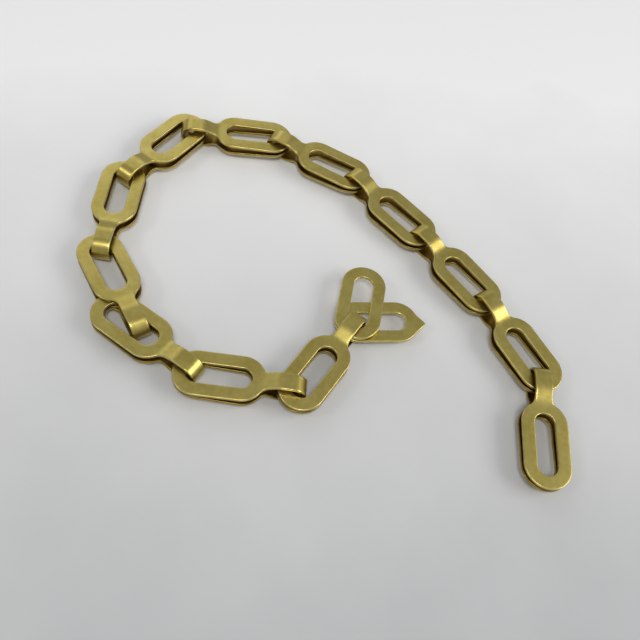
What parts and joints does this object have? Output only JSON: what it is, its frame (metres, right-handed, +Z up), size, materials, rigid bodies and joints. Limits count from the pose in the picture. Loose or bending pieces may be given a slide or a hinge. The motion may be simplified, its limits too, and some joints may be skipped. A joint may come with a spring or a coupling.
{
  "type": "stamped safety chain",
  "caption": "Short curled length of flat stamped brass chain; each folded link's eye closes round both end bars of the next, and two loose slotted plates hang on the last eye.",
  "frame": {"origin": "on the surface the chain lies on, under the middle of the slot of the free end link link_01", "axes": "+Y along link_01 from its free end to its eye, +Z up from the surface the chain lies on, +X to the right seen from above"},
  "size_m": [0.123, 0.0993, 0.0067],
  "materials": {
    "brass": "satin stamped brass, slightly tarnished"
  },
  "bodies": {
    "link_01": {"link_01": "brass"},
    "link_02": {"link_02": "brass"},
    "link_03": {"link_03": "brass"},
    "link_04": {"link_04": "brass"},
    "link_05": {"link_05": "brass"},
    "link_06": {"link_06": "brass"},
    "link_07": {"link_07": "brass"},
    "link_08": {"link_08": "brass"},
    "link_09": {"link_09": "brass"},
    "link_10": {"link_10": "brass"},
    "link_11": {"link_11": "brass"},
    "link_12": {"link_12": "brass"},
    "end_plate_upper": {"end_plate_upper": "brass"},
    "end_plate_lower": {"end_plate_lower": "brass"}
  },
  "joints": [
    {"name": "link_02_fold", "type": "hinge", "parent": "link_01", "child": "link_02", "pos_m": [0, 0.01605, 0.00335], "axis": [-1, 0, 0], "range_deg": [-90, 90]},
    {"name": "link_03_fold", "type": "hinge", "parent": "link_02", "child": "link_03", "pos_m": [-0.01242, 0.03736, 0.00335], "axis": [0.8192, 0.5736, 0], "range_deg": [-90, 90]},
    {"name": "link_04_fold", "type": "hinge", "parent": "link_03", "child": "link_04", "pos_m": [-0.02985, 0.05566, 0.00335], "axis": [-0.7071, -0.7071, 0], "range_deg": [-90, 90]},
    {"name": "link_05_fold", "type": "hinge", "parent": "link_04", "child": "link_05", "pos_m": [-0.04881, 0.07198, 0.00335], "axis": [0.6428, 0.766, 0], "range_deg": [-90, 90]},
    {"name": "link_06_fold", "type": "hinge", "parent": "link_05", "child": "link_06", "pos_m": [-0.07161, 0.08158, 0.00335], "axis": [-0.342, -0.9397, 0], "range_deg": [-90, 90]},
    {"name": "link_07_fold", "type": "hinge", "parent": "link_06", "child": "link_07", "pos_m": [-0.09563, 0.08099, 0.00335], "axis": [-0.0872, 0.9962, 0], "range_deg": [-90, 90]},
    {"name": "link_08_fold", "type": "hinge", "parent": "link_07", "child": "link_08", "pos_m": [-0.10982, 0.06228, 0.00335], "axis": [0.866, -0.5, 0], "range_deg": [-90, 90]},
    {"name": "link_09_fold", "type": "hinge", "parent": "link_08", "child": "link_09", "pos_m": [-0.11161, 0.03803, 0.00335], "axis": [-1, 0, 0], "range_deg": [-90, 90]},
    {"name": "link_10_slide", "type": "slide", "parent": "link_09", "child": "link_10", "axis": [0.866, -0.5, 0], "range_m": [0, 0.008]},
    {"name": "link_11_fold", "type": "hinge", "parent": "link_10", "child": "link_11", "pos_m": [-0.08583, 0.00742, 0.00335], "axis": [-0.5, -0.866, 0], "range_deg": [-90, 90]},
    {"name": "link_12_fold", "type": "hinge", "parent": "link_11", "child": "link_12", "pos_m": [-0.06209, 0.00563, 0.00335], "axis": [0, 1, 0], "range_deg": [-90, 90]},
    {"name": "end_plate_upper_swivel", "type": "hinge", "parent": "link_12", "child": "end_plate_upper", "pos_m": [-0.04641, 0.02661, 0.00405], "axis": [0, 0, 1], "range_deg": [-135, 85]},
    {"name": "end_plate_lower_swivel", "type": "hinge", "parent": "link_12", "child": "end_plate_lower", "pos_m": [-0.04641, 0.02661, 0.00265], "axis": [0, 0, 1], "range_deg": [-60, 160]}
  ]
}
